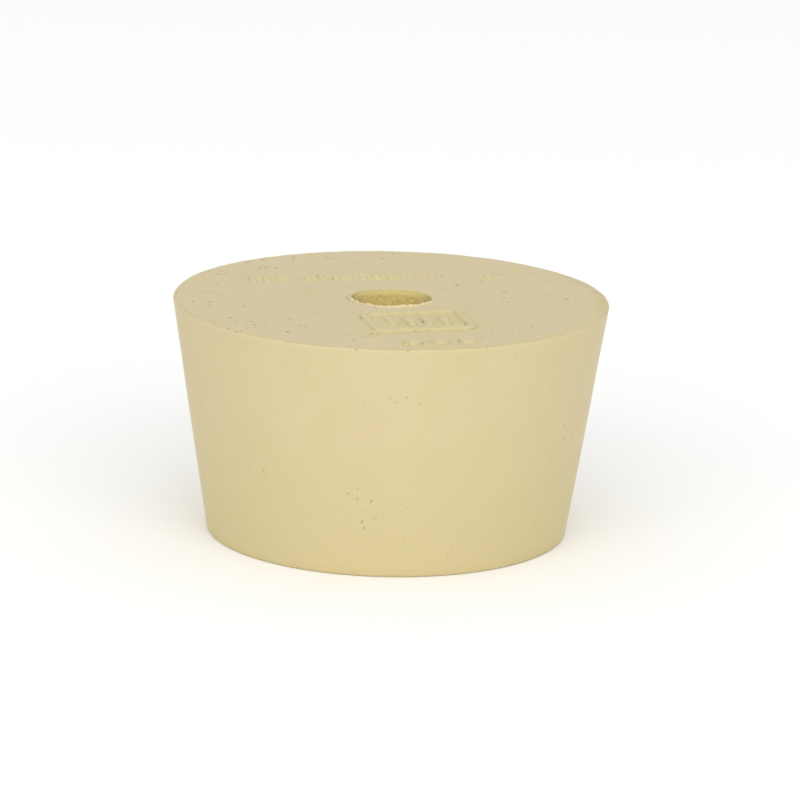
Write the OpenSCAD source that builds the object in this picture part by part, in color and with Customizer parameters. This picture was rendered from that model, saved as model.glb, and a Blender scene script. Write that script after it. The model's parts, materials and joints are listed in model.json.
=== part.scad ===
// Tapered rubber stopper with one straight hole for a tube.
// It stands on its narrow face, with its axis on Z and the origin in the middle of that face.

/* [Body] */
// Diameter across the wide face
wide_d = 46; // [44:0.5:60]
// Diameter across the narrow face
narrow_d = 38.2; // [30:0.1:43]
// Distance from the narrow face to the wide face
body_h = 25; // [15:0.5:45]
// Radius that rounds the rim of the wide face
wide_edge_r = 0.2; // [0.1:0.05:1]
// Radius that rounds the rim of the narrow face
narrow_edge_r = 0.3; // [0.1:0.05:1]

/* [Hole] */
// Diameter of the hole that grips the tube
hole_d = 8.8; // [4:0.1:10]

/* [Tick row] */
// How far the ticks stand above the wide face
tick_h = 0.2; // [0.05:0.05:0.4]
// Most ticks that the row may have
tick_count = 19; // [5:2:25]
// Distance between the middles of neighbouring ticks
tick_pitch = 1.5; // [1.2:0.1:2]
// Width of each tick
tick_w = 0.6; // [0.3:0.05:0.8]
// Length of each tick
tick_l = 2.6; // [1:0.1:4]
// Bare rubber between the hole and the ticks
tick_gap = 4.1; // [1:0.1:6]

/* [Panel] */
// How far the frame, its bars and the pips stand above the wide face
panel_h = 0.3; // [0.05:0.05:0.5]
// Bare rubber kept between the marks and the rim
rim_gap = 2.3; // [1:0.1:3]
// Width of the frame, outside
panel_w = 10.8; // [8:0.1:14]
// Depth of the frame, outside
panel_d = 8; // [6:0.1:8.8]
// Width of the frame's line
line_w = 0.7; // [0.4:0.05:1]
// Radius of the frame's outer corners
corner_r = 1.2; // [1.1:0.1:2]
// Bare rubber between the hole and the frame
panel_gap = 2.4; // [1:0.1:3]
// Turn of the panel about the stopper's axis, in degrees
panel_turn = 5.5; // [-20:0.5:20]
// Number of bars inside the frame
bar_count = 4; // [2:1:5]
// Width of each bar
bar_w = 0.8; // [0.4:0.05:0.9]
// Bare rubber between the ends of the bars and the frame
bar_gap = 1.5; // [0.5:0.1:1.5]
// Number of pips between the frame and the rim
pip_count = 3; // [1:1:4]
// Diameter of each pip
pip_d = 1.8; // [1:0.1:2]
// Bare rubber between neighbouring pips
pip_gap = 1.1; // [0.6:0.1:1.6]

/* [Hidden] */
wide_r = wide_d / 2;
narrow_r = narrow_d / 2;
hole_r = hole_d / 2;
// Lean of the wall away from upright, and the direction that the wall faces in the section
lean = atan((wide_r - narrow_r) / body_h);
wall_normal = [cos(lean), -sin(lean)];
// Middle of the circle that rounds each rim, as distance from the axis and height
wide_middle = [wide_r - wide_edge_r * (tan(lean) + 1 / cos(lean)), body_h - wide_edge_r];
narrow_middle = [narrow_r + narrow_edge_r * (tan(lean) - 1 / cos(lean)), narrow_edge_r];
// Marks stay inside this radius
mark_r = wide_r - rim_gap;
// Distance from the axis to the far ends of the ticks, along the row's own middle line
tick_far = hole_r + tick_gap + tick_l;
// Inside of the frame
inner_w = panel_w - 2 * line_w;
inner_d = panel_d - 2 * line_w;
// How far the marks are rooted in the body, and how far the hole's cutter runs past both faces
over = 0.5;
$fn = 96;

// Half of the body's section: distance from the axis against height
module section() {
    polygon([
        [0, 0],
        [narrow_middle[0], 0],
        narrow_middle,
        narrow_middle + narrow_edge_r * wall_normal,
        wide_middle + wide_edge_r * wall_normal,
        wide_middle,
        [wide_middle[0], body_h],
        [0, body_h]
    ]);
    translate(narrow_middle) circle(r = narrow_edge_r);
    translate(wide_middle) circle(r = wide_edge_r);
}

// Stands flat outlines on the wide face, rooted in the body
module raised(h) {
    translate([0, 0, body_h - over]) linear_extrude(height = over + h) children();
}

// Flat bar with rounded ends, its length along Y, standing on the X axis
module bar(w, l) {
    translate([-w / 2, w / 2]) square([w, l - w]);
    for (y = [w / 2, l - w / 2]) translate([0, y]) circle(d = w);
}

// Flat rectangle with rounded corners, centred
module rounded(w, d, r) {
    square([w - 2 * r, d], center = true);
    square([w, d - 2 * r], center = true);
    for (x = [-1, 1], y = [-1, 1]) translate([x * (w / 2 - r), y * (d / 2 - r)]) circle(r = r);
}

// Row of plain ticks behind the hole, as many of them as the face has room for
module tick_row() {
    half = (tick_count - 1) / 2;
    for (i = [-half:half])
        if (norm([abs(i) * tick_pitch + tick_w / 2, tick_far]) < mark_r)
            translate([i * tick_pitch, hole_r + tick_gap]) bar(tick_w, tick_l);
}

// Frame with plain upright bars inside it
module panel() {
    difference() {
        rounded(panel_w, panel_d, corner_r);
        rounded(inner_w, inner_d, corner_r - line_w);
    }
    pitch = inner_w / (bar_count + 1);
    for (i = [1:bar_count])
        translate([i * pitch - inner_w / 2, bar_gap - inner_d / 2]) bar(bar_w, inner_d - 2 * bar_gap);
}

// Row of round pips along X, centred
module pip_row() {
    half = (pip_count - 1) / 2;
    for (i = [-half:half]) translate([i * (pip_d + pip_gap), 0]) circle(d = pip_d);
}

module stopper() {
    color([0.88, 0.82, 0.65])
        difference() {
            union() {
                rotate_extrude() section();
                raised(tick_h) tick_row();
                raised(panel_h) rotate(panel_turn) {
                    translate([0, -(hole_r + panel_gap + panel_d / 2)]) panel();
                    translate([0, -(mark_r - pip_d / 2)]) pip_row();
                }
            }
            translate([0, 0, -over]) cylinder(h = body_h + 2 * over, r = hole_r);
        }
}

stopper();
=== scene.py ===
# A one-hole rubber stopper standing on a pale studio floor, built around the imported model.
import json
import math
from collections import namedtuple
import bpy
import numpy as np
from mathutils import Matrix, Quaternion, Vector


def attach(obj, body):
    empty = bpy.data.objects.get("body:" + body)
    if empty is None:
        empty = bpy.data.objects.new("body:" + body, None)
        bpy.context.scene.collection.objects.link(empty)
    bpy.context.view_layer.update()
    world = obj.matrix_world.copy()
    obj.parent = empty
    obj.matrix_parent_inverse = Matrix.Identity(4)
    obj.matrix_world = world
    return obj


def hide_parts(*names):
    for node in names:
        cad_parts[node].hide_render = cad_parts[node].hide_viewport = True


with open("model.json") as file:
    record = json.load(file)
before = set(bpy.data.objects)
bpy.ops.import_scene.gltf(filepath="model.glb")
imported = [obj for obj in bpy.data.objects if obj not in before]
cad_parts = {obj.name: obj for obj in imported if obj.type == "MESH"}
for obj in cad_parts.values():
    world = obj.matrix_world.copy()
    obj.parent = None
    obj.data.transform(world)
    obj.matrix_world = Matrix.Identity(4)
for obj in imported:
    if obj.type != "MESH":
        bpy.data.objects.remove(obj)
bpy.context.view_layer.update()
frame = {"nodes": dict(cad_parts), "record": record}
print("frame loaded")

mm = 0.001  # the mesh is worked out in millimetres, and the scene is in metres


def smoothStep(x):
    # 0 below 0, 1 above 1, and 3x^2 - 2x^3 in between
    x = np.clip(x, 0, 1)
    return x * x * (3 - 2 * x)


def hill(distance, width):
    # 1 at no distance, falling as exp(-(distance / width)^2)
    return np.exp(-(distance / width) ** 2)


def ring(distance, width):
    # 1 at no distance, falling by smoothStep to 0 at width on either side
    return smoothStep(1 - np.abs(distance) / width)


def grain(points, size, seed):
    # random heights from -1 to 1 at the corners of a cubic grid, blended between them by smoothStep
    side = 32
    table = np.random.default_rng(seed).uniform(-1, 1, (side, side, side))
    cell = points / size
    corner = np.floor(cell).astype(int)
    part = smoothStep(cell - corner)
    total = np.zeros(len(points))
    for step in np.ndindex(2, 2, 2):
        at = (corner + step) % side
        weight = np.prod(np.where(step, part, 1 - part), axis=1)
        total += table[at[:, 0], at[:, 1], at[:, 2]] * weight
    return total


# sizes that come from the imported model
bore = next(mount for mount in frame["record"]["mounts"] if mount["name"] == "tube_bore")
holeR = bore["dims"]["r_mm"]
bodyH = bore["dims"]["length_mm"]


def wallRadius(share):
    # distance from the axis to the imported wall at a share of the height, by a ray shot straight in
    start = Vector((0, -1, share * bodyH * mm))
    hit, where, normal, face = frame["nodes"]["stopper"].ray_cast(start, Vector((0, 1, 0)))
    return -where.y / mm


bpy.context.view_layer.update()
flare = (wallRadius(0.75) - wallRadius(0.25)) * 2
narrowR = wallRadius(0.5) - flare / 2
wideR = narrowR + flare
lean = math.atan(flare / bodyH)
print("wide radius", round(wideR, 2), "narrow radius", round(narrowR, 2), "height", bodyH, "hole", holeR)

# the section is a closed loop around the rubber, cut along the axis: radii of its rounded edges, its
# columns and rows, and the lengths of the rows on the wall, deep in the bore and near its wide mouth;
# tuck and brink are the thin rows beside the edges
section = dict(wideEdge=0.2, narrowEdge=0.3, mouthEdge=0.14, columns=160, edgeRows=4, wallRow=0.9,
               deepRow=1.3, mouthRow=0.17, mouthDepth=2.8, tuck=0.05, brink=0.3)


def arcPoints(middle, r, start, end, count):
    # count points along an arc about middle, from one angle to another
    angle = np.radians(np.linspace(start, end, count + 1))[1:]
    return np.stack([middle[0] + r * np.cos(angle), middle[1] + r * np.sin(angle)], axis=1)


def linePoints(start, end, count):
    # count points evenly along a straight line, without its first
    share = np.linspace(0, 1, count + 1)[1:, None]
    return (1 - share) * np.array(start) + share * np.array(end)


def facePoints(start, end, height, count):
    # points across a flat face whose spacing grows with the distance from the axis
    r = np.geomspace(start, end, count + 1)[1:]
    return np.stack([r, np.full(count, height)], axis=1)


def stationLoop():
    # the section as points (distance from the axis, height): wide face outwards, down the wall,
    # narrow face inwards, up the bore; every flat run ends in a thin row beside its rounded edge
    s = section
    slope = math.tan(lean)
    upper = (wideR - s["wideEdge"] * (slope + 1 / math.cos(lean)), bodyH - s["wideEdge"])
    lower = (narrowR + s["narrowEdge"] * (slope - 1 / math.cos(lean)), s["narrowEdge"])
    mouthR = holeR + s["mouthEdge"]
    across = math.log(upper[0] / mouthR) / (2 * math.pi / s["columns"])
    wallTop = (upper[0] + s["wideEdge"] * math.cos(lean), upper[1] - s["wideEdge"] * math.sin(lean))
    wallFoot = (lower[0] + s["narrowEdge"] * math.cos(lean), lower[1] - s["narrowEdge"] * math.sin(lean))
    tuck, brink = s["tuck"], s["brink"]
    underTop = (wallTop[0] - tuck * slope, wallTop[1] - tuck)
    overFoot = (wallFoot[0] + tuck * slope, wallFoot[1] + tuck)
    degrees = math.degrees(lean)
    deepTop = bodyH - s["mouthDepth"]
    parts = [
        facePoints(mouthR, upper[0] - brink, bodyH, round(across)),
        linePoints((upper[0] - brink, bodyH), (upper[0], bodyH), 1),
        arcPoints(upper, s["wideEdge"], 90, -degrees, s["edgeRows"]),
        linePoints(wallTop, underTop, 1),
        linePoints(underTop, overFoot, round(bodyH / s["wallRow"])),
        linePoints(overFoot, wallFoot, 1),
        arcPoints(lower, s["narrowEdge"], -degrees, -90, s["edgeRows"]),
        linePoints((lower[0], 0), (lower[0] - tuck, 0), 1),
        facePoints(lower[0] - tuck, mouthR, 0, round(across / 2)),
        arcPoints((mouthR, s["mouthEdge"]), s["mouthEdge"], 270, 180, s["edgeRows"]),
        linePoints((holeR, s["mouthEdge"]), (holeR, deepTop),
                   round((deepTop - s["mouthEdge"]) / s["deepRow"])),
        linePoints((holeR, deepTop), (holeR, bodyH - s["mouthEdge"]),
                   round((s["mouthDepth"] - s["mouthEdge"]) / s["mouthRow"])),
        arcPoints((mouthR, bodyH - s["mouthEdge"]), s["mouthEdge"], 180, 90, s["edgeRows"]),
    ]
    return np.concatenate(parts)


stations = stationLoop()
rowCount = len(stations)
colCount = section["columns"]
print("section of", rowCount, "rows")


def surfacePoint(row, col):
    # point and outward normal at fractional row and column: the section's point at that row,
    # turned about the axis by the column's share of a full turn
    loop = np.vstack([stations, stations[:1]])
    along = np.roll(stations, -1, axis=0) - np.roll(stations, 1, axis=0)
    facing = np.stack([-along[:, 1], along[:, 0]], axis=1)
    facing = np.vstack([facing, facing[:1]])
    at = np.arange(rowCount + 1)
    r = np.interp(row, at, loop[:, 0])
    z = np.interp(row, at, loop[:, 1])
    outward = np.interp(row, at, facing[:, 0])
    upward = np.interp(row, at, facing[:, 1])
    length = np.hypot(outward, upward)
    angle = col / colCount * 2 * math.pi
    point = np.stack([r * np.cos(angle), r * np.sin(angle), z], axis=1)
    normal = np.stack([outward * np.cos(angle), outward * np.sin(angle), upward], axis=1)
    return point, normal / length[:, None]


reach = np.concatenate([[0], np.cumsum(np.hypot(*(np.roll(stations, -1, axis=0) - stations).T))])


def surfaceAt(along, angle):
    # the same, from the distance along the section and the angle about the axis in radians
    return surfacePoint(np.interp(along % reach[-1], reach, np.arange(rowCount + 1)),
                        angle / (2 * math.pi) * colCount)


# zones where faults lie, as shares of the section's whole length: the wide face clear of the mouth and
# the rim, and everything from just below the rim to near the bore's wide end
clear = dict(mouth=0.6, rim=0.8, wall=0.6, last=0.98)
faceZone = (clear["mouth"] / reach[-1], (wideR - holeR - clear["rim"]) / reach[-1])
wallZone = ((wideR - holeR + clear["wall"]) / reach[-1], clear["last"])
groupSize = 5  # how many faults gather around one, on average


def scatter(kind, luck):
    # places spread evenly over the area of a zone of the skin, some of them moved close to others
    width = np.append(stations[:, 0], stations[0, 0])
    area = np.concatenate([[0], np.cumsum((width[1:] + width[:-1]) / 2 * np.diff(reach))])
    low, high = np.array(kind["zone"]) * reach[-1]
    start, end = np.interp([low, high], reach, area)
    along = np.interp(start + luck.random(kind["count"]) * (end - start), area, reach)
    angle = luck.random(kind["count"]) * 2 * math.pi
    grouped = int(kind["count"] * kind["clustered"])
    parent = luck.integers(grouped // groupSize + 1, size=grouped) + grouped
    offset = luck.normal(0, kind["spread"], (2, grouped))
    along[:grouped] = along[parent] + offset[0]
    angle[:grouped] = angle[parent] + offset[1] / np.interp(along[parent], reach, width)
    return surfaceAt(np.clip(along, low, high), angle)


# small faults of the moulded skin: clustered is the share that lies in groups and spread their size,
# longest the largest stretch, rise the height as a share of the size, shade how dark a fault is and
# rubbed how clean it is worn
faults = [
    dict(name="pinhole", zone=wallZone, count=120, seed=403, clustered=0.6, spread=1.5,
         smallest=0.09, largest=0.16, longest=2.0, rise=-0.6, shade=(0.4, 0.85), rubbed=0),
    dict(name="scratch", zone=wallZone, count=12, seed=41, clustered=0.3, spread=2.5,
         smallest=0.07, largest=0.1, longest=7.0, rise=-0.4, shade=(0.15, 0.4), rubbed=0),
    dict(name="blister", zone=wallZone, count=26, seed=37, clustered=0.3, spread=2.5,
         smallest=0.16, largest=0.4, longest=1.6, rise=0.1, shade=(0, 0), rubbed=0),
    dict(name="facePit", zone=faceZone, count=115, seed=1017, clustered=0.4, spread=1.3,
         smallest=0.11, largest=0.28, longest=1.5, rise=-0.65, shade=(0.75, 1), rubbed=0),
    dict(name="crumb", zone=faceZone, count=130, seed=23, clustered=0.7, spread=1.0,
         smallest=0.14, largest=0.42, longest=1.8, rise=0.5, shade=(0, 0.7), rubbed=0.9),
    dict(name="rub", zone=faceZone, count=34, seed=53, clustered=0.5, spread=1.6,
         smallest=0.4, largest=1.1, longest=1.8, rise=0.015, shade=(0, 0), rubbed=0.35)]
# angles and sizes of the nicks, and angles, lengths and depths of the scuffs, in degrees and millimetres
rimFaults = dict(
    nicks=[(217, 0.2), (233, 0.14), (252, 0.2), (265, 0.16), (286, 0.15), (305, 0.13), (340, 0.22),
           (352, 0.16), (8, 0.16)],
    scuffs=[(304, 1.1, 0.06), (314, 1.6, 0.07), (186, 1.3, 0.04), (76, 2.0, 0.02)])


# a fault's centre, long direction, size, stretch, height (below 0 for a pit), darkness and cleanness
Spot = namedtuple("Spot", "centre lay size stretch rise shade rubbed")


def makeSpots():
    # the faults of every kind; most of them are small and round
    found = []
    for kind in faults:
        luck = np.random.default_rng(kind["seed"])
        centre, normal = scatter(kind, luck)
        count = kind["count"]
        size = kind["smallest"] + (kind["largest"] - kind["smallest"]) * luck.random(count) ** 2.2
        lay = np.cross(normal, luck.normal(size=centre.shape))
        lay /= np.linalg.norm(lay, axis=1)[:, None]
        stretch = 1 + (kind["longest"] - 1) * luck.random(count) ** 2
        rise = kind["rise"] * size * luck.uniform(0.6, 1.1, count)
        shade = luck.uniform(*kind["shade"], count)
        rubbed = np.full(count, float(kind["rubbed"]))
        found += [Spot(*values) for values in zip(centre, lay, size, stretch, rise, shade, rubbed)]
    return found


spots = makeSpots()


def spotDistance(points, spot):
    # distance from a spot's centre as a share of its size, shortened along its long direction
    away = points - spot.centre
    straight = np.einsum("ij,ij->i", away, away)
    along = away @ spot.lay
    return np.sqrt(np.maximum(straight - along ** 2 * (1 - 1 / spot.stretch ** 2), 0)) / spot.size


# the raised marks of the wide face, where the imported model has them
marks = dict(tickH=0.2, tickCount=19, tickPitch=1.5, tickW=0.6, tickL=2.6, tickGap=4.1,
             panelH=0.3, rimGap=2.3, panelW=10.8, panelD=8, lineW=0.7, cornerR=1.2, panelGap=2.4,
             panelTurn=5.5, barCount=4, barW=0.8, barGap=1.5, pipCount=3, pipD=1.8, pipGap=1.1,
             slope=0.15, warp=0.07, dirtOut=0.1, dirtWidth=0.16, halo=2.3, smear=0.6)


def nearestOf(x, count, pitch):
    # x measured from the nearest of count places in a centred row
    half = (count - 1) / 2
    return x - (np.clip(np.round(x / pitch + half), 0, count - 1) - half) * pitch


def barDistance(x, y, length, width):
    # distance outside an upright bar with round ends, centred on 0
    past = np.maximum(np.abs(y) - (length - width) / 2, 0)
    return np.hypot(x, past) - width / 2


def tickDistance(x, y):
    # distance outside the nearest tick of the row behind the bore
    m = marks
    across = nearestOf(x, m["tickCount"], m["tickPitch"])
    return barDistance(across, y - holeR - m["tickGap"] - m["tickL"] / 2, m["tickL"], m["tickW"])


def panelDistance(x, y):
    # distance outside the frame, its bars or the pips, whichever is nearest; the frame is the band
    # within a line's width inside a rounded rectangle
    m = marks
    turn = math.radians(m["panelTurn"])
    side = x * math.cos(turn) + y * math.sin(turn)
    ahead = y * math.cos(turn) - x * math.sin(turn)
    middle = ahead + holeR + m["panelGap"] + m["panelD"] / 2
    overX = np.abs(side) - m["panelW"] / 2 + m["cornerR"]
    overY = np.abs(middle) - m["panelD"] / 2 + m["cornerR"]
    outer = np.hypot(np.maximum(overX, 0), np.maximum(overY, 0)) - m["cornerR"]
    outer = outer + np.minimum(np.maximum(overX, overY), 0)
    line = np.maximum(outer, -outer - m["lineW"])
    pitch = (m["panelW"] - 2 * m["lineW"]) / (m["barCount"] + 1)
    length = m["panelD"] - 2 * m["lineW"] - 2 * m["barGap"]
    bars = barDistance(nearestOf(side, m["barCount"], pitch), middle, length, m["barW"])
    pipY = ahead + wideR - m["rimGap"] - m["pipD"] / 2
    pips = np.hypot(nearestOf(side, m["pipCount"], m["pipD"] + m["pipGap"]), pipY) - m["pipD"] / 2
    return np.minimum(np.minimum(line, bars), pips)


# how far from the bore's mouth and from the rim the marks and patches of the wide face keep, and how
# far below the face a point may lie
faceMargin = dict(mouth=0.3, rim=0.5, depth=0.01)


def onWideFace(points):
    # true on the wide face, between the bore's mouth and the rim
    r = np.hypot(points[:, 0], points[:, 1])
    inner, outer = holeR + faceMargin["mouth"], wideR - faceMargin["rim"]
    return (points[:, 2] > bodyH - faceMargin["depth"]) & (r > inner) & (r < outer)


# how small the cells of the skin become beside each kind of detail, and how far that reaches from it,
# in millimetres; a spot's cells and the reach of spots and nicks are shares of their own size
fineness = dict(levels=3, coarsest=9.0, spot=0.12, spotShare=0.6, spotReach=1.3, mark=0.14, nick=0.12,
                nickReach=1.4, rim=0.46, rimReach=0.3, mouth=0.1, mouthReach=0.55, mouthDepth=1.2)


def rimPlace(angle):
    # the middle of the wide rim's rounded edge at an angle in degrees
    turn = math.radians(angle)
    inset, drop = section["wideEdge"] * 0.6, section["wideEdge"] * 0.4
    r = wideR - inset
    return np.array([r * math.cos(turn), r * math.sin(turn), bodyH - drop])


def wantedSize(points, slack):
    # the cell size that the faults, marks and edges within slack of each point call for
    f = fineness
    size = np.full(len(points), f["coarsest"])
    for spot in spots:
        near = spotDistance(points, spot) * spot.size < spot.size * f["spotReach"] + slack
        size[near] = np.minimum(size[near], max(f["spot"], spot.size * f["spotShare"]))
    for angle, width in rimFaults["nicks"]:
        near = np.linalg.norm(points - rimPlace(angle), axis=1) < width * f["nickReach"] + slack
        size[near] = np.minimum(size[near], f["nick"])
    x, y, z = points.T
    edge = np.minimum(np.abs(tickDistance(x, y)), np.abs(panelDistance(x, y)))
    size[onWideFace(points) & (edge < marks["slope"] + slack)] = f["mark"]
    r = np.hypot(x, y)
    rim = np.hypot(r - wideR, z - bodyH) < f["rimReach"]
    size[rim] = np.minimum(size[rim], f["rim"])
    mouth = (np.abs(r - holeR) < f["mouthReach"] + slack) & (bodyH - z < f["mouthDepth"])
    size[mouth] = np.minimum(size[mouth], f["mouth"])
    return size


def splitCells():
    # which cells split at each level: those wider than the size wanted there, and the neighbours of
    # smaller ones, so that no cell lies beside one less than half as wide
    turn = 2 * math.pi / colCount
    step = np.diff(reach)
    splits = [np.zeros((rowCount << level, colCount << level), bool) for level in range(fineness["levels"])]
    row, col = [axis.ravel() for axis in np.mgrid[0:rowCount, 0:colCount]]
    for level, split in enumerate(splits):
        point = surfacePoint((row + 0.5) / 2 ** level, (col + 0.5) / 2 ** level)[0]
        width = np.hypot(point[:, 0], point[:, 1]) * turn / 2 ** level
        height = step[row >> level] / 2 ** level
        split[row, col] = np.maximum(width, height) > wantedSize(point, np.hypot(width, height) / 2)
        row, col = np.nonzero(split)
        row = (row[:, None] * 2 + [0, 0, 1, 1]).ravel()
        col = (col[:, None] * 2 + [0, 1, 0, 1]).ravel()
    for level in range(fineness["levels"] - 1, 0, -1):
        grown = splits[level].copy()
        for axis in (0, 1):
            grown |= np.roll(grown, 1, axis=axis) | np.roll(grown, -1, axis=axis)
        rows, cols = splits[level - 1].shape
        splits[level - 1] |= grown.reshape(rows, 2, cols, 2).any(axis=(1, 3))
    return splits


def cellPolygons():
    # every cell that isn't split becomes a polygon of its corners and of the middles of its sides that
    # smaller neighbours use; returns the used places of the finest grid and the polygons on them
    splits = splitCells()
    levels = fineness["levels"]
    rows, cols = rowCount << levels, colCount << levels
    used = np.zeros((rows, cols), bool)
    leaves = []
    for level in range(levels + 1):
        exists = np.ones((rowCount, colCount), bool)
        if level:
            exists = np.repeat(np.repeat(splits[level - 1], 2, axis=0), 2, axis=1)
        if level < levels:
            exists = exists & ~splits[level]
        width = 1 << (levels - level)
        row, col = [axis * width for axis in np.nonzero(exists)]
        half = width // 2
        down = np.array([0, half, width, width, width, half, 0, 0])
        right = np.array([0, 0, 0, half, width, width, width, half])
        place = (row[:, None] + down) % rows * cols + (col[:, None] + right) % cols
        used.flat[place[:, ::2]] = True
        leaves.append((place, half > 0))
    number = np.cumsum(used.ravel()) - 1
    corners, counts = [], []
    for place, hasMiddles in leaves:
        keep = used.ravel()[place]
        keep[:, 1::2] &= hasMiddles
        corners.append(number[place[keep]])
        counts.append(keep.sum(axis=1))
    row, col = np.nonzero(used)
    return row / 2 ** levels, col / 2 ** levels, np.concatenate(corners), np.concatenate(counts)


# how far the skin strays from the plain section, in millimetres, and how dark its dirt and painted shade are
skin = dict(slow=0.035, ripple=0.012, nickShade=0.6, dirtShade=0.8, grimeShade=0.7)
# size and seed of each unevenness
grains = dict(slow=(6.5, 3), ripple=(2.4, 4), warpSide=(0.8, 5), warpAhead=(0.8, 6), tickWear=(3.0, 7),
              panelWear=(1.3, 8), markDirt=(0.75, 17), halo=(1.7, 18), streak=(1.0, 22),
              torn=(0.75, 9), tornFine=(0.34, 10), tornSlow=(1.9, 11), collar=(1.3, 12),
              cutEdge=(0.6, 13), cutFine=(0.22, 14), cutCoarse=(0.5, 15), grime=(0.5, 19),
              rim=(1.2, 16), rimLine=(4.0, 23), dull=(1.6, 21), clean=(2.2, 20))


def uneven(points, name):
    # one of the grains above
    return grain(points, *grains[name])


def turnFrom(angle, place):
    # how far angles in radians are from a place in degrees, the short way round
    return np.abs((angle - math.radians(place) + math.pi) % (2 * math.pi) - math.pi)


def markRise(points):
    # the marks' height, with outlines bent and tops worn by grain; the share of dirt and painted shade at
    # their feet, the share of the face that is rubbed clean around them, and the smears along the ticks
    m = marks
    x = points[:, 0] + m["warp"] * uneven(points, "warpSide")
    y = points[:, 1] + m["warp"] * uneven(points, "warpAhead")
    ticks, panel = tickDistance(x, y), panelDistance(x, y)
    patch = uneven(points, "tickWear")
    tickWear = np.clip(0.5 + 1.1 * patch, 0.05, 1.1)
    panelWear = np.clip(0.95 + 0.3 * uneven(points, "panelWear"), 0.55, 1.15)
    rise = m["tickH"] * smoothStep(0.5 - ticks / m["slope"]) * tickWear
    rise += m["panelH"] * smoothStep(0.5 - panel / m["slope"]) * panelWear
    edge = np.minimum(ticks, panel)
    # dirt and painted shade: a patchy dark ring at the feet of the marks
    markDirtAndShade = ring(edge - m["dirtOut"], m["dirtWidth"]) * smoothStep(uneven(points, "markDirt") * 1.7 - 0.3)
    face = onWideFace(points)
    halo = smoothStep(1.1 - (panel + 0.6 * uneven(points, "halo")) / m["halo"])
    half = (m["tickCount"] - 1) / 2 * m["tickPitch"]
    row = np.maximum(np.abs(x) - half, np.abs(y - holeR - m["tickGap"] - m["tickL"] / 2) - m["tickL"] / 2)
    streak = uneven(points * [0.6, 1.7, 1], "streak")
    smear = smoothStep(0.5 - row / m["smear"]) * smoothStep(0.15 + 1.1 * patch + 0.9 * streak)
    return rise * face, markDirtAndShade * face, halo * face, smear * face


# the bore's wide end, in millimetres: heights, distances out from the bore and depths; tornAt is the
# place around the axis where the lip is torn most, in degrees
mouthSkin = dict(tornAt=262, lip=0.32, lipOut=0.1, lipWidth=0.14, topDepth=0.3, edgeOut=0.08, edgeDepth=0.12,
                 torn=0.08, tornWidth=0.25, sideSwell=0.13, farWear=0.12, wearWidth=0.3, collar=0.09,
                 collarWidth=0.3, collarWarp=0.12, collarSlope=0.12, collarDepth=0.1, grimeOut=0.05,
                 grimeWidth=0.12, brinkWidth=0.5, brinkTint=0.2, insideDepth=0.35, deepStart=0.5,
                 deepFade=2.2, cutStart=0.45, cutWarp=0.14, cutFade=0.4, cutGrain=0.06)


def mouthWear(points):
    # the wide end of the bore: a ragged lip torn up on the near side and worn on the far side, a low collar
    # around it on the left with a darker ring at its foot, and the granular wall that the cutter left below
    # a smoother band, with painted shade further down
    s = mouthSkin
    x, y, z = points.T
    r = np.maximum(np.hypot(x, y), 0.01)
    out, depth = r - holeR, bodyH - z
    mouthR = holeR + section["mouthEdge"]
    onFace = depth < s["collarDepth"]
    turn = math.radians(s["tornAt"])
    near = smoothStep(0.3 + 0.85 * (x * math.cos(turn) + y * math.sin(turn)) / r)
    side = smoothStep(np.abs(x * math.sin(turn) - y * math.cos(turn)) / r * 4 - 3)
    left = smoothStep(0.1 - x / r)
    ragged = 0.7 * uneven(points, "torn") + 0.6 * uneven(points, "tornFine")
    ragged += 0.25 * uneven(points, "tornSlow")
    ridge = hill(out - s["lipOut"], s["lipWidth"]) * (depth < s["topDepth"])
    height = ridge * near * s["lip"] * np.clip(0.8 + 0.6 * ragged, 0.15, 1.5)
    edge = np.hypot(out - s["edgeOut"], depth - s["edgeDepth"])
    height += s["torn"] * hill(edge, s["tornWidth"]) * (0.25 + near) * (0.35 + ragged)
    worn = s["sideSwell"] * side - s["farWear"] * (1 - near) * (1 - side)
    height += worn * hill(edge, s["wearWidth"])
    collarEnd = s["collarWidth"] + s["collarWarp"] * uneven(points, "collar")
    collar = smoothStep((collarEnd - r + holeR) / s["collarSlope"])
    height += s["collar"] * collar * onFace * (r > mouthR) * left
    # a patchy darker ring at the foot of the collar, on the left
    grime = left * onFace * ring(out - s["collarWidth"] - s["grimeOut"], s["grimeWidth"])
    grime *= smoothStep(uneven(points, "grime") * 2)
    cut = smoothStep((depth - s["cutStart"] - s["cutWarp"] * uneven(points, "cutEdge")) / s["cutFade"])
    cut *= r < holeR + 0.02
    eased = 1 - 0.6 * smoothStep((depth - section["mouthDepth"]) / 0.6)  # less where the rows are long
    rough = uneven(points, "cutFine") + 0.5 * uneven(points, "cutCoarse") - 0.5
    height += s["cutGrain"] * cut * eased * rough
    inside = smoothStep(depth / s["insideDepth"]) * (r < mouthR)
    # painted shade: the bore's wall darkens from half a millimetre below the wide face downwards
    deep = smoothStep((depth - s["deepStart"]) / s["deepFade"]) * (r < mouthR)
    brink = smoothStep(1 - (r - mouthR) / s["brinkWidth"]) * (r >= mouthR) * (depth < s["topDepth"])
    brink *= 1 - near
    inside = np.maximum(inside, s["brinkTint"] * brink)
    return height, cut, inside, deep, smoothStep((ridge * near - 0.3) / 0.5), grime


# the wide rim, in millimetres; dull and clean are patches of the face along it, each with its place
# around the axis and its half-angle in degrees, and its width
rimSkin = dict(wear=0.02, wearWidth=0.3, lineInset=0.22, lineWidth=0.13, lineDepth=0.16, lineFade=0.12,
               dull=(5, 26, 1.5), dullShare=0.7, clean=(314, 38, 2.6), scuffWidth=0.4, footWidth=0.4)


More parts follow.
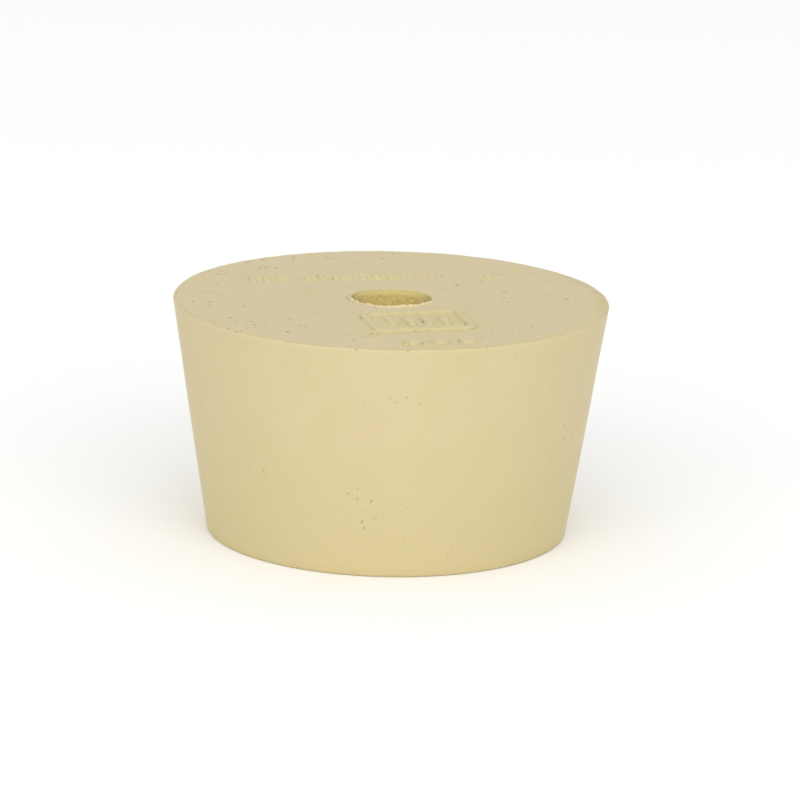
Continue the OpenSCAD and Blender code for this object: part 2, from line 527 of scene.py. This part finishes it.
def rimPatch(angle, inset, patch, rough):
    # a patch along the rim, whose ends and inner edge fade by smoothStep; rough bends the inner edge
    place, spread, width = patch
    along = smoothStep(1.4 - turnFrom(angle, place) / math.radians(spread))
    return along * smoothStep(1.2 - inset / width + rough)


def rimWear(points):
    # nicks and scuffs pressed into the wide rim, with painted shade in the nicks, the dull line and patch
    # just inside it, a line of painted contact shade and floor bounce along the foot, and the patch of the
    # face that is rubbed clean
    s = rimSkin
    x, y, z = points.T
    r = np.hypot(x, y)
    angle = np.arctan2(y, x)
    edge = np.hypot(r - wideR, z - bodyH)
    line = hill(wideR - s["lineInset"] - r, s["lineWidth"])
    line *= smoothStep((z - bodyH + s["lineDepth"]) / s["lineFade"])
    line *= np.clip(0.65 + 0.7 * uneven(points, "rimLine"), 0.15, 1)
    dull = rimPatch(angle, wideR - r, s["dull"], 0.6 * uneven(points, "dull"))
    line = np.maximum(line, dull * s["dullShare"] * (z > bodyH - s["lineDepth"]))
    height = s["wear"] * hill(edge, s["wearWidth"]) * uneven(points, "rim")
    dark = np.zeros(len(points))
    for place, width in rimFaults["nicks"]:
        part = np.maximum(1 - (np.linalg.norm(points - rimPlace(place), axis=1) / width) ** 2, 0)
        height -= 0.5 * width * part ** 2
        # painted shade: the nick is darkened towards its middle
        dark = np.maximum(dark, part)
    for place, length, depth in rimFaults["scuffs"]:
        part = smoothStep(1.5 - turnFrom(angle, place) * wideR / length)
        part *= smoothStep(1.4 - edge / s["scuffWidth"])
        height -= depth * part
    # painted contact shade and floor bounce: a darker, more orange line where the foot meets the floor
    foot = hill(np.hypot(r - narrowR, z), s["footWidth"])
    clean = rimPatch(angle, wideR - r, s["clean"], 0.4 * uneven(points, "clean"))
    return height, dark, line, foot, clean * onWideFace(points)


# a spot's reach, the height, place and width of the ring around a pit, and the place of the painted shade at
# a crumb's foot, all as shares of the spot's own size or height
spotSkin = dict(reach=1.3, ringHeight=0.2, ringAt=1.1, footAt=1.05, ringWidth=0.3)


def spotWear(points):
    # pits and crumbs as bowls of height (1 - q^2)^2, where q is the distance as a share of the size; pits
    # carry dirt with painted shade, and crumbs a ring of painted shade at their foot
    s = spotSkin
    height = np.zeros(len(points))
    pit = np.zeros(len(points))
    crumb = np.zeros(len(points))
    for spot in spots:
        reached = s["reach"] * spot.size * spot.stretch
        near = np.flatnonzero(np.abs(points - spot.centre).max(axis=1) < reached)
        if not len(near):
            continue
        q = spotDistance(points[near], spot)
        bowl = np.maximum(1 - q ** 2, 0)
        height[near] += spot.rise * bowl ** 2
        if spot.rise < 0:
            height[near] -= spot.rise * s["ringHeight"] * ring(q - s["ringAt"], s["ringWidth"])
            # dirt and painted shade in the pit
            pit[near] = np.maximum(pit[near], bowl * spot.shade)
        else:
            crumb[near] = np.maximum(crumb[near], bowl * spot.rubbed)
            # painted shade: a dark ring at the crumb's foot
            foot = ring(q - s["footAt"], s["ringWidth"]) * spot.shade
            pit[near] = np.maximum(pit[near], foot)
    return height, pit, crumb


def shapeSkin(row, col):
    # the plain section's points moved along their normals, and the shares that the finish reads
    points, normals = surfacePoint(row, col)
    height = skin["slow"] * uneven(points, "slow") + skin["ripple"] * uneven(points, "ripple")
    mark, markDirtAndShade, around, smear = markRise(points)
    mouth, cut, inside, deep, lip, grime = mouthWear(points)
    rim, nick, line, foot, clean = rimWear(points)
    spotHeight, pit, crumb = spotWear(points)
    height += mark + mouth + rim + spotHeight
    moved = points + normals * height[:, None]
    moved[:, 2] = np.maximum(moved[:, 2], 0)
    # dirt and painted shade of pits, nicks and the feet of crumbs and marks, with the darker ring at the
    # collar's foot
    dark = [pit, nick * skin["nickShade"], markDirtAndShade * skin["dirtShade"], grime * skin["grimeShade"]]
    shares = dict(pit=np.max(dark, axis=0), rubbed=np.maximum(crumb, smear), mark=mark / marks["panelH"],
                  around=np.maximum(around, clean), cut=cut, inside=inside, deep=deep, lip=lip, rim=line,
                  foot=foot, face=smoothStep((normals[:, 2] - 0.5) / 0.45))
    return moved, shares


def makeMesh(name):
    # puts the split cells of the skin into one closed mesh, smooth all over, with its shares
    row, col, corners, counts = cellPolygons()
    points, shares = shapeSkin(row, col)
    mesh = bpy.data.meshes.new(name)
    mesh.vertices.add(len(points))
    mesh.vertices.foreach_set("co", (points * mm).ravel())
    mesh.loops.add(len(corners))
    mesh.loops.foreach_set("vertex_index", corners.astype(np.int32))
    mesh.polygons.add(len(counts))
    mesh.polygons.foreach_set("loop_start", (np.cumsum(counts) - counts).astype(np.int32))
    mesh.polygons.foreach_set("use_smooth", np.ones(len(counts), bool))
    mesh.update(calc_edges=True)
    mesh.validate()
    for share, values in shares.items():
        mesh.attributes.new(share, "FLOAT", "POINT").data.foreach_set("value", values.astype(np.float32))
    print(name, len(points), "points,", int((counts - 2).sum()), "triangles")
    return mesh


stopper = bpy.data.objects.new("rubberStopper", makeMesh("rubberStopper"))
bpy.context.scene.collection.objects.link(stopper)
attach(stopper, "root")
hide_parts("stopper")


class Wire:
    # a shader socket that takes part in sums: each operator adds one Math node
    def __init__(self, finish, socket):
        self.finish = finish
        self.socket = socket

    def sum(self, operation, first, second):
        return self.finish.add("ShaderNodeMath", {"operation": operation}, {0: first, 1: second})

    def __add__(self, other):
        return self.sum("ADD", self, other)

    def __sub__(self, other):
        return self.sum("SUBTRACT", self, other)

    def __rsub__(self, other):
        return self.sum("SUBTRACT", other, self)

    def __mul__(self, other):
        return self.sum("MULTIPLY", self, other)

    __radd__ = __add__
    __rmul__ = __mul__


class Finish:
    # one material and the nodes that make it
    def __init__(self, name):
        self.material = bpy.data.materials.new(name)
        self.material.use_nodes = True
        self.tree = self.material.node_tree
        self.tree.nodes.clear()

    def add(self, kind, settings=None, inputs=None, output=0):
        # a node of this kind: its settings are set first, then the values or links of its sockets
        node = self.tree.nodes.new(kind)
        for name, value in (settings or {}).items():
            setattr(node, name, value)
        for name, value in (inputs or {}).items():
            if isinstance(value, Wire):
                self.tree.links.new(value.socket, node.inputs[name])
            else:
                node.inputs[name].default_value = value
        return Wire(self, node.outputs[output]) if node.outputs else None

    def mix(self, factor, first, second):
        # colours blended by a factor
        return self.add("ShaderNodeMix", {"data_type": "RGBA"}, {0: factor, 6: first, 7: second}, 2)

    def limit(self, value, low, high):
        # 0 at low, 1 at high, and a smooth step between
        return self.add("ShaderNodeMapRange", {"interpolation_type": "SMOOTHSTEP"},
                        {"Value": value, "From Min": low, "From Max": high})

    def share(self, name):
        # one of the shares that the mesh carries
        return self.add("ShaderNodeAttribute", {"attribute_name": name}, output=2)


# colours are linear; sizes are in metres
# among these, the colour mixed in towards the floor and the colour deep in the bore are painted shade, the
# foot's colour is painted contact shade and floor bounce, the pits' colour is dirt with painted shade, and
# the bloom is dust with a painted grazing sheen
rubber = dict(cream=(0.575, 0.485, 0.277, 1), greenish=(0.552, 0.476, 0.255, 1),
              pinkish=(0.58, 0.474, 0.283, 1), low=(0.56, 0.474, 0.253, 1), bloom=(0.588, 0.489, 0.302, 1),
              worn=(0.572, 0.492, 0.243, 1), rim=(0.48, 0.395, 0.18, 1), foot=(0.53, 0.4, 0.185, 1),
              pit=(0.33, 0.25, 0.115, 1), speck=(0.36, 0.27, 0.12, 1), mouth=(0.57, 0.49, 0.245, 1),
              band=(0.63, 0.54, 0.207, 1), cut=(0.67, 0.525, 0.2, 1), tear=(0.78, 0.66, 0.39, 1),
              rubbed=(0.62, 0.533, 0.248, 1), deep=(0.57, 0.44, 0.17, 1), lowFoot=0.002, lowTop=0.017,
              roughness=0.7, dustyRough=0.12, cleanSmooth=0.1, cutRough=0.15, pitRough=0.1,
              soft=0.15, softColour=(1.0, 0.7, 0.3), softDepth=0.001, sheen=0.1, sheenRoughness=0.35,
              ior=1.45, bump=0.5, bumpHeight=0.00005, fineGrain=0.6, cutGrain=1.6, coarseGrain=0.8)
# how much of each colour shows where it is strongest, and how many times a noise repeats in a metre
amount = dict(greenish=0.55, pinkish=0.45, bloom=0.7, worn=0.7, rubbed=0.7, rim=0.65, foot=0.4, band=0.9,
              deep=0.6, cutPit=0.5, tear=0.75, speck=0.8, pit=0.9)
often = dict(greenish=130, pinkish=210, bloom=190, cutPit=6500, speck=700, fine=2600, coarse=900)


def makeRubber():
    # cream rubber that lets a little light in, mottled, dusted with bloom and a painted grazing sheen on the
    # upper face but rubbed clean around the marks, darker along the rim, with painted contact shade and
    # floor bounce along the foot, painted shade towards the floor and down the bore, dirt and painted shade
    # in the pits, and more yellow where it was cut
    made = Finish("agedRubber")
    place = made.add("ShaderNodeTexCoord", output=3)

    def noise(scale, detail=2.0, roughness=0.5):
        return made.add("ShaderNodeTexNoise", {"noise_dimensions": "3D"},
                        {"Vector": place, "Scale": scale, "Detail": detail, "Roughness": roughness})

    patches = made.limit(noise(often["greenish"], 3), 0.4, 0.62)
    blush = made.limit(noise(often["pinkish"], 2), 0.45, 0.68)
    colour = made.mix(patches * amount["greenish"], rubber["cream"], rubber["greenish"])
    colour = made.mix(blush * amount["pinkish"], colour, rubber["pinkish"])
    height = made.add("ShaderNodeSeparateXYZ", inputs={"Vector": place}, output=2)
    # painted shade: the rubber turns darker and yellower towards the floor, fully at the lower height and
    # not at all above the upper
    colour = made.mix(1 - made.limit(height, rubber["lowFoot"], rubber["lowTop"]), colour, rubber["low"])
    face, rubbed = made.share("face"), made.share("rubbed")
    clean = made.limit(made.share("around") + rubbed, 0.05, 1.1)
    clean = clean * (1 - 0.6 * made.limit(made.share("mark"), 0.1, 0.6))
    # dust and painted grazing sheen: the upper face turns paler and greyer
    dustAndSheen = face * (1 - clean) * made.limit(noise(often["bloom"], 3), 0.36, 0.6)
    colour = made.mix(dustAndSheen * amount["bloom"], colour, rubber["bloom"])
    colour = made.mix(clean * face * amount["worn"], colour, rubber["worn"])
    colour = made.mix(made.limit(rubbed, 0.05, 0.8) * face * amount["rubbed"], colour, rubber["rubbed"])
    colour = made.mix(made.share("rim") * amount["rim"], colour, rubber["rim"])
    # painted contact shade and floor bounce: a darker, more orange line along the foot
    colour = made.mix(made.share("foot") * amount["foot"], colour, rubber["foot"])
    inside, cut = made.share("inside"), made.share("cut")
    colour = made.mix(made.limit(inside, 0, 0.25), colour, rubber["mouth"])
    colour = made.mix(made.limit(inside, 0.35, 1) * amount["band"], colour, rubber["band"])
    colour = made.mix(cut, colour, rubber["cut"])
    # painted shade down the bore
    colour = made.mix(made.share("deep") * amount["deep"], colour, rubber["deep"])
    cutPit = cut * made.limit(noise(often["cutPit"], 1), 0.57, 0.68)
    colour = made.mix(cutPit * amount["cutPit"], colour, rubber["pit"])
    colour = made.mix(made.share("lip") * amount["tear"], colour, rubber["tear"])
    away = made.add("ShaderNodeTexVoronoi", inputs={"Vector": place, "Scale": often["speck"]})
    colour = made.mix((1 - made.limit(away, 0.03, 0.075)) * amount["speck"], colour, rubber["speck"])
    # dirt and painted shade in pits and nicks and at the feet of raised things
    pit = made.limit(made.share("pit"), 0.05, 0.7)
    colour = made.mix(pit * amount["pit"], colour, rubber["pit"])
    roughness = rubber["roughness"] + rubber["dustyRough"] * dustAndSheen - rubber["cleanSmooth"] * clean
    roughness = roughness + rubber["cutRough"] * cut + rubber["pitRough"] * pit
    fine = noise(often["fine"], 3, 0.6)
    coarse = noise(often["coarse"], 2)
    relief = fine * (rubber["fineGrain"] + rubber["cutGrain"] * cut) + coarse * rubber["coarseGrain"]
    bump = made.add("ShaderNodeBump", inputs={"Strength": rubber["bump"], "Distance": rubber["bumpHeight"],
                                              "Height": relief})
    shader = made.add("ShaderNodeBsdfPrincipled", inputs={
        "Base Color": colour, "Roughness": roughness, "Normal": bump,
        "Subsurface Weight": rubber["soft"], "Subsurface Radius": rubber["softColour"],
        "Subsurface Scale": rubber["softDepth"], "Sheen Weight": rubber["sheen"],
        "Sheen Roughness": rubber["sheenRoughness"], "IOR": rubber["ior"]})
    made.add("ShaderNodeOutputMaterial", inputs={"Surface": shader})
    return made.material


stopper.data.materials.append(makeRubber())
print("rubber made")

# the floor is one pale sheet that fills the view
studio = dict(floorSize=8.0, floor=(0.96, 0.96, 0.955, 1), floorRoughness=0.9, floorShine=0.1,
              sky=(1, 1, 1, 1), skyLight=0.84,
              frontPower=26.5, frontSize=(3.6, 1.2), frontAt=(-0.25, -1.6, 1.0))


def makeFloor():
    # a flat square sheet at the height of the stopper's foot
    half = studio["floorSize"] / 2
    mesh = bpy.data.meshes.new("studioFloor")
    corners = [(-half, -half, 0), (half, -half, 0), (half, half, 0), (-half, half, 0)]
    mesh.from_pydata(corners, [], [(0, 1, 2, 3)])
    made = Finish("paleFloor")
    shader = made.add("ShaderNodeBsdfPrincipled", inputs={
        "Base Color": studio["floor"], "Roughness": studio["floorRoughness"],
        "Specular IOR Level": studio["floorShine"]})
    made.add("ShaderNodeOutputMaterial", inputs={"Surface": shader})
    mesh.materials.append(made.material)
    floor = bpy.data.objects.new("studioFloor", mesh)
    bpy.context.scene.collection.objects.link(floor)


def makeLight(name, at, size, power):
    # a soft rectangular light that faces the stopper
    light = bpy.data.lights.new(name, "AREA")
    light.shape = "RECTANGLE"
    light.size, light.size_y = size
    light.energy = power
    lamp = bpy.data.objects.new(name, light)
    lamp.location = at
    lamp.rotation_euler = (Vector((0, 0, bodyH / 2 * mm)) - Vector(at)).to_track_quat("-Z", "Y").to_euler()
    bpy.context.scene.collection.objects.link(lamp)


def makeSky():
    # an even white light from everywhere
    world = bpy.data.worlds.new("studioSky")
    world.use_nodes = True
    back = world.node_tree.nodes["Background"]
    back.inputs["Color"].default_value = studio["sky"]
    back.inputs["Strength"].default_value = studio["skyLight"]
    bpy.context.scene.world = world


makeFloor()
makeSky()
makeLight("frontLight", studio["frontAt"], studio["frontSize"], studio["frontPower"])
print("studio made")

# the camera looks at the front of the stopper from a little above; lengths in metres, angles in degrees
view = dict(turn=-9.5, away=0.4761, eyeHeight=0.13615, aimAside=0.00118, aimHeight=0.013955, roll=1.411,
            lens=208.74, sensor=36, nearest=0.01, farthest=20)


def makeCamera():
    # stands in front and above, both it and its aim turned about the axis, and rolls a little
    turn = Matrix.Rotation(math.radians(view["turn"]), 3, "Z")
    eye = turn @ Vector((0, -view["away"], view["eyeHeight"]))
    aim = turn @ Vector((view["aimAside"], 0, view["aimHeight"]))
    camera = bpy.data.objects.new("viewCamera", bpy.data.cameras.new("viewCamera"))
    camera.data.lens = view["lens"]
    camera.data.sensor_width = view["sensor"]
    camera.data.clip_start = view["nearest"]
    camera.data.clip_end = view["farthest"]
    camera.location = eye
    straight = (aim - eye).to_track_quat("-Z", "Y")
    camera.rotation_euler = (straight @ Quaternion((0, 0, 1), math.radians(view["roll"]))).to_euler()
    bpy.context.scene.collection.objects.link(camera)
    bpy.context.scene.camera = camera


makeCamera()
bpy.context.scene.view_settings.view_transform = "Standard"
